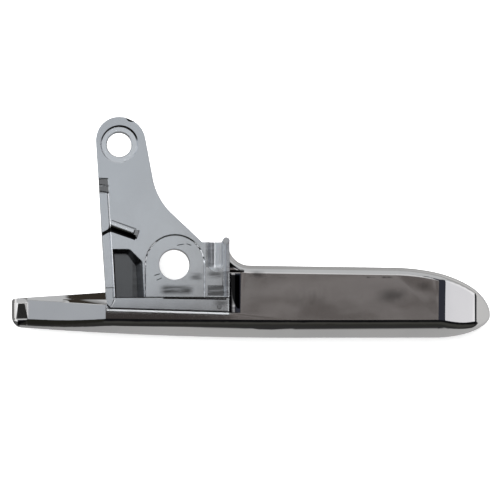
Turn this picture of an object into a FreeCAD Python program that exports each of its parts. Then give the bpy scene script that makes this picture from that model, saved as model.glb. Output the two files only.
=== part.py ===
import FreeCAD, Part
import math
import os

# Lever of a car's inside door handle: one metal casting with a grip, a tail and a pull arm.
# All sizes are in millimetres.
# +Z is the pivot axis, +X runs along the grip to its nose, +Y points into the door.
# The origin is on the pivot axis, on the flat face that the pivot's washer bears on.

V = FreeCAD.Vector

# Grip and tail, seen along the pivot axis
GRIP_BACK_Y = 0.2
GRIP_BACK_LEAN = 0.66
GRIP_FRONT_Y = -18.6
GRIP_FRONT_LEAN = 0.17
NOSE_X = 84.2
NOSE_TIP_Y = -12.5
NOSE_UPPER_LENGTH = 26.0
NOSE_LOWER_LENGTH = 14.6
FRONT_STRAIGHT_START_X = 32.0
FRONT_BEND_RADIUS = 910.0
TAIL_X = -42.6
TAIL_BACK_Y = -8.55
TAIL_ROOT_X = -17.6
TAIL_ROOT_Y = -7.0
TAIL_BACK_CORNER = 0.8
TAIL_FRONT_CORNER = 3.2
TAIL_CORNER_EASE = 0.1

# Grip and tail, seen from the front
SIDE_DROP = 4.5
GRIP_HEIGHT = 20.0
FRONT_CROWN_RADIUS = 17.0
TAIL_CREASE_X = -18.1
TAIL_CREASE_BLEND = 2.0
TAIL_TAPER_ANGLE = 12.5
TAIL_END_LENGTH = 4.2
TAIL_END_ANGLE = 30.0
TAIL_END_ROUND = 4.0
TAIL_RUN_OFF = 5.0
NOSE_CREASE_X = 70.8
NOSE_CREASE_BLEND = 6.0
NOSE_TAPER_ANGLE = 20.0
NOSE_EDGE_X = 79.75
NOSE_EDGE_BLEND = 2.5
NOSE_END_ANGLE = 43.0
NOSE_TIP_LAND = 0.2
RIM_RADIUS = 2.2
RIM_LEAST_TURN = 8.0

# Bevel along the back of the tail
TAIL_BEVEL_ROOT_WIDTH = 3.5
TAIL_BEVEL_END_WIDTH = 0.05
TAIL_BEVEL_ROOT_ANGLE = 33.0
TAIL_BEVEL_END_ANGLE = 45.0

# Lug at the right of the pivot, and the open bay behind the grip under the pivot
LUG_LEFT_X = 8.4
LUG_RIGHT_X = 14.4
LUG_TOP_Y = 5.85
WEB_RADIUS = 5.6
WEB_LAND = 0.05
BAY_BACK_Y = -8.6
BAY_LEFT_X = -6.9
BAY_CORNER = 2.5

# Pull arm
PLATE_RAISE = 0.35
PLATE_THICKNESS = 3.0
HEAD_X = -14.1
HEAD_Y = 32.2
HEAD_REACH = 6.45
HEAD_LEFT_RADIUS = 6.05
HEAD_RIGHT_RADIUS = 6.85
LEFT_EDGE_LEAN = 3.9
RIGHT_EDGE_LEAN = 10.5
DIAGONAL_SLOPE = 43.2
DIAGONAL_END_X = 7.2
ARM_HOLLOW_RADIUS = 16.5
ARM_LEFT_FOOT_Y = -12.1
ARM_RIGHT_FOOT_Y = -13.0

# Bores
PIVOT_RADIUS = 4.0
CABLE_X = -14.5
CABLE_Y = 31.35
CABLE_RADIUS = 3.2
CABLE_CHAMFER = 0.2
COUNTERBORE_RADIUS = 4.65
COUNTERBORE_DEPTH = 0.6
COUNTERBORE_FLARE = 0.2

# Washer seat round the pivot and the ear below it
SEAT_RADIUS = 7.6
SEAT_FLARE = 0.25
SEAT_X = 0.1
EAR_RADIUS = 8.8

# Length by which cutting solids run past what they cut
OVERRUN = 1.0

# Ledge along the foot of the arm
LEDGE_DROP = 2.0
LEDGE_BACK_Y = -8.55
LEDGE_LEFT_X = -15.8
LEDGE_RIM_RADIUS = 0.8

# Flange under the left edge of the arm, with its stepped top
FLANGE_WIDTH = 2.4
FLANGE_DEPTH = 12.0
FLANGE_SLOPE_START_Y = 7.0
FLANGE_TOP_Y = 22.3
SHELF_FLARE = 0.45
SHELF_STEPS = [(22.3, 0.1, 14.0), (20.5, 0.3, 14.0), (18.7, 0.85, 0.0), (8.3, 1.15, 0.0), (-6.2, 1.3, 0.0)]
SHELF_BEND_Y = -9.3
SHELF_POINT_X = -16.8
SHELF_POINT_Y = -11.5
SHELF_END_Y = -11.9

# Pocket between flange and pivot
POCKET_LEFT_X = -16.2
POCKET_RIGHT_X = -8.55
POCKET_TOP_Y = 3.9
POCKET_BOTTOM_Y = -8.6
POCKET_SLANT_X = -11.7
POCKET_SLANT_Y = 0.6
POCKET_LEAN = 3.0
POCKET_DEPTH = 11.0
POCKET_DRAFT = 0.5
POCKET_RIGHT_DRAFT = 1.4
POCKET_CORNER = 1.3
POCKET_FLOOR = 2.0
POCKET_WALL = 1.6
HUB_INSET = 0.3

# Small forms on the arm
FIN_START_X = -17.0
FIN_START_Y = 10.3
FIN_LENGTH = 7.9
FIN_ANGLE = -20.0
FIN_WIDTH = 2.8
FIN_HEIGHT = 1.1
FIN_FRONT_SLOPE_WIDTH = 1.5
FIN_BACK_SLOPE_WIDTH = 0.4
FIN_END_SLOPE_LENGTH = 1.3
SCOOP_X = 10.65
SCOOP_END_Y = 0.2
SCOOP_RADIUS = 2.3
SCOOP_WIDTH = 3.9
BEAD_X = 13.4
BEAD_RADIUS = 0.65
CAP_X = 13.5
CAP_Y = 6.2
CAP_RADIUS = 0.92
PANEL_LEFT_X = 8.7
PANEL_RIGHT_X = 13.4
PANEL_BOTTOM_Y = -8.3
PANEL_TOP_Y = -5.6
PANEL_DEPTH = 0.5
GATE_X = -11.4
GATE_Y = 38.9
GATE_RADIUS = 1.4
GATE_DEPTH = 0.8

# Hollow blend at the foot of the lug's right wall
BLEND_RADIUS = 5.4
BLEND_REACH = 3.3
BLEND_MARGIN = 0.6

# Cells cored into the underside of the grip
CELL_COUNT = 4
CELL_FIRST_X = 17.0
CELL_LAST_X = 66.0
CELL_RIB = 2.2
CELL_FRONT_Y = -12.4
CELL_BACK_Y = -3.4
CELL_DEPTH = 14.0
CELL_DRAFT = 0.6
CELL_CORNER = 1.5


def rounding_shares(points, reaches):
    """Share of its reach that each rounding of an outline keeps, so that it fits on its two sides."""
    shares = [1.0] * len(points)
    for i in range(len(points)):
        side = points[i - 1].distanceToPoint(points[i])
        reach = reaches[i - 1] + reaches[i]
        if reach > side:
            shares[i - 1] = min(shares[i - 1], side / reach)
            shares[i] = min(shares[i], side / reach)
    return shares


def rounded_wire(corners, z=0.0):
    """Closed wire through corners given as (x, y, radius), in a plane of constant z."""
    edges = []
    count = len(corners)
    points = [V(x, y, z) for x, y, radius in corners]
    backs = [(points[i - 1] - points[i]).normalize() for i in range(count)]
    aheads = [(points[(i + 1) % count] - points[i]).normalize() for i in range(count)]
    halves = [back.getAngle(ahead) / 2 for back, ahead in zip(backs, aheads)]
    reaches = [corner[2] / math.tan(half) for corner, half in zip(corners, halves)]
    shares = rounding_shares(points, reaches)
    ends = []
    for i in range(count):
        here, back, ahead, half = points[i], backs[i], aheads[i], halves[i]
        radius = corners[i][2] * shares[i]
        if radius <= 0:
            ends.append((here, here, here))
            continue
        reach = radius / math.tan(half)
        middle_direction = (back + ahead).normalize()
        middle = here + middle_direction * (radius / math.sin(half) - radius)
        ends.append((here + back * reach, middle, here + ahead * reach))
    for i in range(count):
        start, middle, end = ends[i]
        if start.distanceToPoint(end) > 1e-6:
            edges.append(Part.Arc(start, middle, end).toShape())
        following = ends[(i + 1) % count][0]
        if end.distanceToPoint(following) > 1e-6:
            edges.append(Part.LineSegment(end, following).toShape())
    return Part.Wire(edges)


def prism(corners, bottom, top):
    """Upright prism on an outline of rounded corners."""
    return Part.Face(rounded_wire(corners, bottom)).extrude(V(0, 0, top - bottom))


def quarter_turn(start, corner, end):
    """Quarter of a skewed ellipse that touches the two lines from its ends to a corner."""
    curve = Part.BezierCurve()
    curve.setPoles([start, corner, end])
    curve.setWeight(2, math.sqrt(0.5))
    return curve.toShape()


def crown_inset(rise):
    """How far the crowned front lies behind its crest, at a height above the middle."""
    return FRONT_CROWN_RADIUS - math.sqrt(FRONT_CROWN_RADIUS ** 2 - rise ** 2)


def crowned_solid(rows, seam, middle_z):
    """Solid behind a crowned patch, closed by planes towards a seam.

    Each row is (x, edge y, crest y, weight), the patch's poles at one place along the lever.
    The seam is the path of (x, y) points behind the patch, from its first row to its last.
    """
    half = GRIP_HEIGHT / 2
    crest_weight = math.cos(math.asin(half / FRONT_CROWN_RADIUS))
    surface = Part.BezierSurface()
    surface.increase(2, 2)
    for i, (x, edge_y, crest_y, weight) in enumerate(rows):
        surface.setPole(i + 1, 1, V(x, edge_y, middle_z - half), weight)
        surface.setPole(i + 1, 2, V(x, crest_y, middle_z), weight * crest_weight)
        surface.setPole(i + 1, 3, V(x, edge_y, middle_z + half), weight)
    patch = surface.toShape()
    faces = [patch]
    tops = [V(x, y, middle_z + half) for x, y in seam]
    bottoms = [V(x, y, middle_z - half) for x, y in seam]
    for edge in patch.Edges:
        ends = [vertex.Point for vertex in edge.Vertexes]
        if edge.BoundBox.ZLength < 0.001:
            path = tops if ends[0].z > middle_z else bottoms
            path = path if ends[1].distanceToPoint(path[0]) < ends[0].distanceToPoint(path[0]) else path[::-1]
            closing = [ends[1]] + path + [ends[0]]
        else:
            first = min(range(len(seam)), key=lambda i: abs(seam[i][0] - ends[0].x))
            low, high = (tops[first], bottoms[first]) if ends[1].z > ends[0].z else (bottoms[first], tops[first])
            closing = [ends[1], low, high, ends[0]]
        faces.append(Part.Face(Part.Wire([edge] + Part.makePolygon(closing).Edges)))
    for i in range(len(seam) - 1):
        corners = [tops[i], tops[i + 1], bottoms[i + 1], bottoms[i], tops[i]]
        faces.append(Part.Face(Part.makePolygon(corners)))
    shell = Part.Shell(faces)
    shell.sewShape()
    solid = Part.Solid(shell)
    if solid.Volume < 0:
        solid.reverse()
    return solid


def crown_poles():
    """Places across the lever of the crowned front's edge and of its crest pole."""
    half = GRIP_HEIGHT / 2
    edge_y = GRIP_FRONT_Y + crown_inset(half)
    crest_y = GRIP_FRONT_Y + FRONT_CROWN_RADIUS - FRONT_CROWN_RADIUS ** 2 / math.sqrt(
        FRONT_CROWN_RADIUS ** 2 - half ** 2)
    return edge_y, crest_y


def nose_front(middle_z):
    """Front quarter of the nose: a crowned surface that turns along an ellipse."""
    edge_y, crest_y = crown_poles()
    root_x = NOSE_X - NOSE_LOWER_LENGTH
    rows = []
    for x, weight in [(root_x, 1.0), (NOSE_X, math.sqrt(0.5))]:
        rows.append((x, edge_y + front_lean(x), crest_y + front_lean(x), weight))
    rows.append((NOSE_X, NOSE_TIP_Y, NOSE_TIP_Y, 1.0))
    return crowned_solid(rows, [(root_x, NOSE_TIP_Y)], middle_z)


def tail_front(middle_z):
    """Front of the tail: its rim runs straight while its crest bends back, so the crown fades out."""
    edge_y, crest_y = crown_poles()
    far_x = TAIL_X - TAIL_RUN_OFF
    crest_weight = math.cos(math.asin(GRIP_HEIGHT / 2 / FRONT_CROWN_RADIUS))
    bend = front_bend(far_x) * (1 + crest_weight) / crest_weight
    middle_x = (FRONT_STRAIGHT_START_X + far_x) / 2
    rows = []
    for x, bent in [(FRONT_STRAIGHT_START_X, 0), (middle_x, 0), (far_x, bend)]:
        rows.append((x, edge_y + front_lean(x), crest_y + front_lean(x) + bent, 1.0))
    seam = [(FRONT_STRAIGHT_START_X, NOSE_TIP_Y), (far_x, NOSE_TIP_Y)]
    return crowned_solid(rows, seam, middle_z)


def front_bend(x):
    """How far the crest of the front has bent back at a place along the tail."""
    return (FRONT_STRAIGHT_START_X - x) ** 2 / (2 * FRONT_BEND_RADIUS)


def front_lean(x):
    """How far the leaning front lies back at a place along the lever, from the start of its straight run."""
    return (x - FRONT_STRAIGHT_START_X) * math.tan(math.radians(GRIP_FRONT_LEAN))


def back_line_y(x):
    """Place of the grip's straight back, which leans towards the nose."""
    return GRIP_BACK_Y - (x - LUG_RIGHT_X) * math.tan(math.radians(GRIP_BACK_LEAN))


def straight_front(middle_z):
    """Straight run of the crowned front, between the bent tail and the nose."""
    half = GRIP_HEIGHT / 2
    edge_y = crown_poles()[0]
    start_x = FRONT_STRAIGHT_START_X
    top = V(start_x, edge_y, middle_z + half)
    bottom = V(start_x, edge_y, middle_z - half)
    seam_bottom = V(start_x, NOSE_TIP_Y + OVERRUN, middle_z - half)
    seam_top = V(start_x, NOSE_TIP_Y + OVERRUN, middle_z + half)
    section = Part.Face(Part.Wire([
        Part.Arc(top, V(start_x, GRIP_FRONT_Y, middle_z), bottom).toShape(),
        Part.LineSegment(bottom, seam_bottom).toShape(),
        Part.LineSegment(seam_bottom, seam_top).toShape(),
        Part.LineSegment(seam_top, top).toShape(),
    ]))
    root_x = NOSE_X - NOSE_LOWER_LENGTH
    return section.extrude(V(root_x - start_x, front_lean(root_x), 0))


def front_half(middle_z):
    """Front half of grip and tail: the bent tail, a straight run and the nose, all crowned."""
    return straight_front(middle_z).fuse([tail_front(middle_z), nose_front(middle_z)])


def back_half(middle_z):
    """Back half of grip and tail with the lug, its walls upright. The tail runs on past its end."""
    low = middle_z - GRIP_HEIGHT / 2
    start_x = NOSE_X - NOSE_UPPER_LENGTH
    tail_slope = (TAIL_ROOT_Y - TAIL_BACK_Y) / (TAIL_ROOT_X - TAIL_X)
    far_x = TAIL_X - TAIL_RUN_OFF
    web_radius = min(WEB_RADIUS, LUG_TOP_Y - GRIP_BACK_Y - WEB_LAND)
    corners = [
        (start_x, NOSE_TIP_Y, 0),
        (start_x, back_line_y(start_x), 0),
        (LUG_RIGHT_X, GRIP_BACK_Y, web_radius),
        (LUG_RIGHT_X, LUG_TOP_Y, 0),
        (LUG_LEFT_X, LUG_TOP_Y, 0),
        (LUG_LEFT_X, BAY_BACK_Y, BAY_CORNER),
        (BAY_LEFT_X, BAY_BACK_Y, 0),
        (TAIL_ROOT_X, TAIL_ROOT_Y, 0),
        (far_x, TAIL_BACK_Y - tail_slope * TAIL_RUN_OFF, 0),
        (far_x, NOSE_TIP_Y, 0),
    ]
    body = prism(corners, low, low + GRIP_HEIGHT)
    root = V(start_x, NOSE_TIP_Y, low)
    tip = V(NOSE_X, NOSE_TIP_Y, low)
    top = V(start_x, back_line_y(start_x), low)
    nose = Part.Face(Part.Wire([
        quarter_turn(tip, V(NOSE_X, back_line_y(NOSE_X), low), top),
        Part.LineSegment(top, root).toShape(),
        Part.LineSegment(root, tip).toShape(),
    ])).extrude(V(0, 0, GRIP_HEIGHT))
    return body.fuse(nose)


def tail_half_height(x):
    """Half the height of the tail at a place along it."""
    return GRIP_HEIGHT / 2 - (TAIL_CREASE_X - x) * math.tan(math.radians(TAIL_TAPER_ANGLE))


def across_lever(corners, middle_z):
    """Solid across the whole lever, on an outline of rounded corners seen from the front."""
    depth = 4 * GRIP_HEIGHT
    solid = Part.Face(rounded_wire(corners)).extrude(V(0, 0, depth))
    solid.rotate(V(0, 0, 0), V(1, 0, 0), 90)
    solid.translate(V(0, depth / 2, middle_z))
    return solid


def side_profile(middle_z):
    """Solid with the shape that grip and tail have from the front."""
    half = GRIP_HEIGHT / 2
    far_x = TAIL_X - TAIL_RUN_OFF
    nose_edge = half - (NOSE_EDGE_X - NOSE_CREASE_X) * math.tan(math.radians(NOSE_TAPER_ANGLE))
    steepest = (nose_edge - RIM_RADIUS - NOSE_TIP_LAND) / (NOSE_X - NOSE_EDGE_X)
    apex_x = NOSE_EDGE_X + nose_edge / min(math.tan(math.radians(NOSE_END_ANGLE)), steepest)
    upper = [
        (apex_x, 0, 0),
        (NOSE_EDGE_X, nose_edge, NOSE_EDGE_BLEND),
        (NOSE_CREASE_X, half, NOSE_CREASE_BLEND),
        (TAIL_CREASE_X, half, TAIL_CREASE_BLEND),
        (far_x, tail_half_height(far_x), 0),
    ]
    lower = [(x, -rise, radius) for x, rise, radius in reversed(upper[1:])]
    return across_lever(upper + lower, middle_z)


def rim_edges(body, middle_z):
    """Edges where the flat sides of grip and nose meet its front and back walls."""
    edges = []
    for edge in body.Edges:
        first, last = edge.ParameterRange
        point = edge.valueAt((first + last) / 2)
        faces = body.ancestorsOfType(edge, Part.Face)
        if len(faces) != 2:
            continue
        normals = []
        for face in faces:
            normals.append(face.normalAt(*face.Surface.parameter(point)))
        if math.degrees(normals[0].getAngle(normals[1])) < RIM_LEAST_TURN:
            continue
        side, wall = sorted(normals, key=lambda normal: -abs(normal.y) - abs(normal.x))[::-1]
        upright = abs(wall.y) > abs(side.y) + 0.1
        on_front = point.y < NOSE_TIP_Y
        on_back = point.x > LUG_RIGHT_X - 0.01
        if (on_front or on_back) and upright and abs(side.y) < 0.01 and abs(side.z) > 0.1:
            edges.append(edge)
        elif on_back and abs(wall.x) > 0.99 and abs(side.z) > 0.99:
            edges.append(edge)
    return edges


def tail_end_cutter(middle_z):
    """Cut that gives the tail its end wall, a rounded step and a flat facet above and below."""
    tall = 2 * GRIP_HEIGHT
    far_x = TAIL_X - 2 * TAIL_RUN_OFF
    edge_x = TAIL_X + TAIL_END_LENGTH
    edge_rise = tail_half_height(edge_x)
    corner_rise = edge_rise - TAIL_END_LENGTH * math.tan(math.radians(TAIL_END_ANGLE))
    return across_lever([
        (edge_x, edge_rise, 0),
        (TAIL_X, corner_rise, TAIL_END_ROUND),
        (TAIL_X, -corner_rise, TAIL_END_ROUND),
        (edge_x, -edge_rise, 0),
        (edge_x, -tall, 0),
        (far_x, -tall, 0),
        (far_x, tall, 0),
        (edge_x, tall, 0),
    ], middle_z)


def tail_corner_cutters(middle_z):
    """Cuts that round the front and the back corner of the tail seen along the pivot axis."""
    low = middle_z - GRIP_HEIGHT
    tall = 2 * GRIP_HEIGHT
    front_x = TAIL_X + TAIL_FRONT_CORNER
    front_y = GRIP_FRONT_Y + front_bend(front_x) + front_lean(front_x) - TAIL_CORNER_EASE
    cutters = []
    for radius, y, inward in [(TAIL_FRONT_CORNER, front_y, 1), (TAIL_BACK_CORNER, TAIL_BACK_Y, -1)]:
        centre = V(TAIL_X + radius, y + inward * radius, low)
        corner = Part.makeBox(radius + TAIL_RUN_OFF, tall, tall)
        corner.translate(V(TAIL_X - TAIL_RUN_OFF, centre.y - (tall if inward > 0 else 0), low))
        cutters.append(corner.cut(Part.makeCylinder(radius, tall, centre)))
    return cutters


def tail_bevel_cutter(middle_z):
    """Cut along the back of the tail's upper side, wider and flatter towards the pivot."""
    half = GRIP_HEIGHT / 2
    back_slope = (TAIL_ROOT_Y - TAIL_BACK_Y) / (TAIL_ROOT_X - TAIL_X)
    ends = [
        (TAIL_X - OVERRUN, TAIL_BEVEL_END_WIDTH, TAIL_BEVEL_END_ANGLE),
        (TAIL_CREASE_X + OVERRUN, TAIL_BEVEL_ROOT_WIDTH, TAIL_BEVEL_ROOT_ANGLE),
    ]
    sections = []
    for x, width, angle in ends:
        back_y = TAIL_BACK_Y + (x - TAIL_X) * back_slope
        start = V(x, back_y - width, middle_z + tail_half_height(x))
        far = V(x, start.y + half, start.z - half * math.tan(math.radians(angle)))
        sections.append(Part.makePolygon([
            start, far, V(x, far.y, start.z + half), V(x, start.y, start.z + half), start]))
    return Part.makeLoft(sections, True, True)


def grip_and_tail():
    """Grip and tail: crowned front, flat sides, tapered tail and nose, rounded rims."""
    middle_z = -SIDE_DROP - GRIP_HEIGHT / 2
    body = front_half(middle_z).fuse(back_half(middle_z))
    body = body.common(side_profile(middle_z)).removeSplitter()
    body = body.makeFillet(RIM_RADIUS, rim_edges(body, middle_z))
    return body.cut([tail_end_cutter(middle_z), tail_bevel_cutter(middle_z)] + tail_corner_cutters(middle_z))


def head_corner(first, second, radius):
    """Corner of the head between its edges that face two ways, given by their angles."""
    reach = HEAD_REACH / math.cos(math.radians((second - first) / 2))
    angle = math.radians((first + second) / 2)
    return (HEAD_X + reach * math.cos(angle), HEAD_Y + reach * math.sin(angle), radius)


def left_edge_x(y):
    """Place of the arm's straight left edge at a height along the arm."""
    lean = math.radians(LEFT_EDGE_LEAN)
    return HEAD_X - HEAD_REACH / math.cos(lean) - (y - HEAD_Y) * math.tan(lean)


def arm_outline():
    """Corners of the pull arm seen along the pivot axis."""
    left_way = 180 + LEFT_EDGE_LEAN
    right_way = RIGHT_EDGE_LEAN
    top_way = (left_way + right_way) / 2
    right_lean = math.radians(RIGHT_EDGE_LEAN)
    slope = math.tan(math.radians(DIAGONAL_SLOPE))
    edge_at_head = HEAD_X + HEAD_REACH / math.cos(right_lean)
    fall = math.tan(right_lean)
    hollow_y = (DIAGONAL_END_X - edge_at_head - HEAD_Y * fall + LUG_TOP_Y / slope) / (1 / slope - fall)
    hollow_x = edge_at_head + (HEAD_Y - hollow_y) * fall
    return [
        (left_edge_x(ARM_LEFT_FOOT_Y), ARM_LEFT_FOOT_Y, 0),
        head_corner(left_way, top_way, HEAD_LEFT_RADIUS),
        head_corner(top_way, right_way, HEAD_RIGHT_RADIUS),
        (hollow_x, hollow_y, ARM_HOLLOW_RADIUS),
        (DIAGONAL_END_X, LUG_TOP_Y, 0),
        (LUG_RIGHT_X, LUG_TOP_Y, 0),
        (LUG_RIGHT_X, ARM_RIGHT_FOOT_Y, 0),
    ]


def seat_corners(radius):
    """Corners of the arched washer seat round the pivot, open towards the ledge."""
    return [
        (SEAT_X - radius, LEDGE_BACK_Y - OVERRUN, 0),
        (SEAT_X - radius, radius, radius),
        (SEAT_X + radius, radius, radius),
        (SEAT_X + radius, LEDGE_BACK_Y - OVERRUN, 0),
    ]


def leaning_slab(points, thickness):
    """Slab along the arm's left edge from a profile of (y, z) points, as thick as given."""
    polygon = [V(left_edge_x(0), y, z) for y, z in points]
    slab = Part.Face(Part.makePolygon(polygon + polygon[:1])).extrude(V(thickness, 0, 0))
    slab.rotate(V(left_edge_x(0), 0, 0), V(0, 0, 1), LEFT_EDGE_LEAN)
    return slab


def shelf_cutters():
    """Cuts that lower the top of the flange in steps, with a sloping inner wall."""
    top = PLATE_RAISE + OVERRUN
    ends = [start_y for start_y, drop, tilt in SHELF_STEPS[1:]] + [ARM_LEFT_FOOT_Y - OVERRUN]
    cutters = []
    for (start_y, drop, tilt), end_y in zip(SHELF_STEPS, ends):
        level = PLATE_RAISE - drop
        wall = Part.Face(Part.makePolygon([
            V(-OVERRUN, start_y, level),
            V(FLANGE_WIDTH - SHELF_FLARE, start_y, level),
            V(FLANGE_WIDTH, start_y, PLATE_RAISE),
            V(FLANGE_WIDTH, start_y, top),
            V(-OVERRUN, start_y, top),
            V(-OVERRUN, start_y, level),
        ])).extrude(V(0, end_y - start_y, 0))
        wall.rotate(V(0, start_y, level), V(1, 0, 0), tilt)
        wall.translate(V(left_edge_x(0), 0, 0))
        wall.rotate(V(left_edge_x(0), 0, 0), V(0, 0, 1), LEFT_EDGE_LEAN)
        cutters.append(wall)
    return cutters


def pocket_corners(inset, right_inset):
    """Corners of the leaning pocket beside the pivot, drawn in by its draft."""
    lean = math.tan(math.radians(POCKET_LEAN))
    corners = [
        (POCKET_LEFT_X + inset, POCKET_BOTTOM_Y + inset, 0),
        (POCKET_RIGHT_X - right_inset, POCKET_BOTTOM_Y + inset, 0),
        (POCKET_RIGHT_X - right_inset, POCKET_SLANT_Y - inset, POCKET_CORNER),
        (POCKET_SLANT_X - inset, POCKET_TOP_Y - inset, POCKET_CORNER),
        (POCKET_LEFT_X + inset, POCKET_TOP_Y - inset, 0),
    ]
    return [(x + (POCKET_TOP_Y - y) * lean, y, radius) for x, y, radius in corners]


def drafted(lower_corners, lower_z, upper_corners, upper_z):
    """Solid between two outlines of rounded corners at two levels."""
    wires = [rounded_wire(lower_corners, lower_z), rounded_wire(upper_corners, upper_z)]
    return Part.makeLoft(wires, True, True)


def pocket_hub():
    """Box of walls that hangs under the arm round the pocket."""
    low = PLATE_RAISE - POCKET_DEPTH - POCKET_FLOOR
    wall = POCKET_WALL
    corners = [
        (left_edge_x(BAY_BACK_Y) + HUB_INSET, BAY_BACK_Y - OVERRUN, 0),
        (BAY_LEFT_X, BAY_BACK_Y - OVERRUN, 0),
        (BAY_LEFT_X, POCKET_SLANT_Y + wall, wall),
        (POCKET_SLANT_X + wall, POCKET_TOP_Y + wall, wall),
        (left_edge_x(POCKET_TOP_Y + wall) + HUB_INSET, POCKET_TOP_Y + wall, 0),
    ]
    return prism(corners, low, PLATE_RAISE - PLATE_THICKNESS / 2)


def flange():
    """Flange that hangs from the left edge of the arm and fades out towards the head."""
    points = [
        (ARM_LEFT_FOOT_Y, -FLANGE_DEPTH),
        (FLANGE_SLOPE_START_Y, -FLANGE_DEPTH),
        (FLANGE_TOP_Y, PLATE_RAISE - PLATE_THICKNESS),
        (FLANGE_TOP_Y, PLATE_RAISE),
        (ARM_LEFT_FOOT_Y, PLATE_RAISE),
    ]
    return leaning_slab(points, FLANGE_WIDTH)


def ear():
    """Thicker ear round the pivot, and the solid foot that joins arm and grip."""
    low = -SIDE_DROP
    plate_middle = PLATE_RAISE - PLATE_THICKNESS / 2
    ring = Part.makeCylinder(EAR_RADIUS, plate_middle - low, V(0, 0, low))
    neck = Part.makeBox(2 * EAR_RADIUS, -BAY_BACK_Y, plate_middle - low)
    neck.translate(V(-EAR_RADIUS, BAY_BACK_Y, low))
    lug = prism([
        (LUG_LEFT_X, LEDGE_BACK_Y, 0),
        (LUG_RIGHT_X, LEDGE_BACK_Y, 0),
        (LUG_RIGHT_X, LUG_TOP_Y, 0),
        (LUG_LEFT_X, LUG_TOP_Y, 0),
    ], low - OVERRUN, PLATE_RAISE)
    foot = prism([
        (left_edge_x(ARM_LEFT_FOOT_Y), ARM_LEFT_FOOT_Y, 0),
        (LUG_RIGHT_X, ARM_RIGHT_FOOT_Y, 0),
        (LUG_RIGHT_X, BAY_BACK_Y, 0),
        (left_edge_x(BAY_BACK_Y), BAY_BACK_Y, 0),
    ], low - OVERRUN, plate_middle)
    return [ring, neck, lug, foot]


def ledge_cutter():
    """Cut that lowers the foot of the arm to the ledge, leaving the flange's pointed end."""
    corners = [
        (LEDGE_LEFT_X, LEDGE_BACK_Y, 0),
        (LUG_RIGHT_X + OVERRUN, LEDGE_BACK_Y, 0),
        (LUG_RIGHT_X + OVERRUN, ARM_RIGHT_FOOT_Y - OVERRUN, 0),
        (left_edge_x(ARM_LEFT_FOOT_Y) - OVERRUN, ARM_LEFT_FOOT_Y - OVERRUN, 0),
        (left_edge_x(ARM_LEFT_FOOT_Y) - OVERRUN, SHELF_END_Y, 0),
        (SHELF_POINT_X, SHELF_POINT_Y, 0),
        (LEDGE_LEFT_X, SHELF_BEND_Y, 0),
    ]
    return prism(corners, -LEDGE_DROP, PLATE_RAISE + OVERRUN)


def ledge_rim_cutter():
    """Cut that rounds the outer edge of the ledge, along the foot of the arm."""
    start = V(left_edge_x(ARM_LEFT_FOOT_Y), ARM_LEFT_FOOT_Y, -LEDGE_DROP)
    end = V(LUG_RIGHT_X, ARM_RIGHT_FOOT_Y, -LEDGE_DROP)
    along = (end - start).normalize()
    inward = V(-along.y, along.x, 0)
    radius = LEDGE_RIM_RADIUS
    start = start - along * radius
    centre = start + inward * radius - V(0, 0, radius)
    low = centre - inward * radius
    high = centre + V(0, 0, radius)
    middle = centre + (V(0, 0, 1) - inward) * (radius * math.sqrt(0.5))
    outside = V(low.x, low.y, high.z) + V(0, 0, 1) - inward
    wire = Part.Wire([
        Part.Arc(low, middle, high).toShape(),
        Part.LineSegment(high, high + V(0, 0, 1)).toShape(),
        Part.LineSegment(high + V(0, 0, 1), outside).toShape(),
        Part.LineSegment(outside, low - inward).toShape(),
        Part.LineSegment(low - inward, low).toShape(),
    ])
    return Part.Face(wire).extrude(along * ((end - start).Length + radius))


def fin():
    """Low slanted rib on the face of the arm, steeper at its back and sloped at its end."""
    half = FIN_WIDTH / 2
    root = -FIN_HEIGHT / 4
    section = Part.Face(Part.makePolygon([
        V(0, -half, root),
        V(0, FIN_FRONT_SLOPE_WIDTH - half, FIN_HEIGHT),
        V(0, half - FIN_BACK_SLOPE_WIDTH, FIN_HEIGHT),
        V(0, half, root),
        V(0, -half, root),
    ]))
    rib = section.extrude(V(FIN_LENGTH, 0, 0))
    slope = Part.Face(Part.makePolygon([
        V(FIN_LENGTH, -FIN_WIDTH, 0),
        V(FIN_LENGTH, -FIN_WIDTH, FIN_HEIGHT),
        V(FIN_LENGTH - FIN_END_SLOPE_LENGTH, -FIN_WIDTH, FIN_HEIGHT),
        V(FIN_LENGTH, -FIN_WIDTH, 0),
    ])).extrude(V(0, 2 * FIN_WIDTH, 0))
    rib = rib.cut(slope)
    rib.rotate(V(0, 0, 0), V(0, 0, 1), FIN_ANGLE)
    rib.translate(V(FIN_START_X, FIN_START_Y, PLATE_RAISE))
    return rib


def bead():
    """Round bead down the lug's right edge, with a small upright cap at its end."""
    level = PLATE_RAISE - BEAD_RADIUS / 3
    top = level + BEAD_RADIUS
    rod = Part.makeCylinder(BEAD_RADIUS, CAP_Y - LEDGE_BACK_Y, V(BEAD_X, LEDGE_BACK_Y, level), V(0, 1, 0))
    cap = Part.makeCylinder(CAP_RADIUS, top + SIDE_DROP, V(CAP_X, CAP_Y, -SIDE_DROP))
    return [rod, cap]


def scoop():
    """Round-bottomed channel that runs out of the lug's face towards the door."""
    rise = math.sqrt(SCOOP_RADIUS ** 2 - (SCOOP_WIDTH / 2) ** 2)
    centre = V(SCOOP_X, SCOOP_END_Y, PLATE_RAISE + rise)
    channel = Part.makeCylinder(SCOOP_RADIUS, LUG_TOP_Y, centre, V(0, 1, 0))
    return [channel, Part.makeSphere(SCOOP_RADIUS, centre)]


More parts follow.
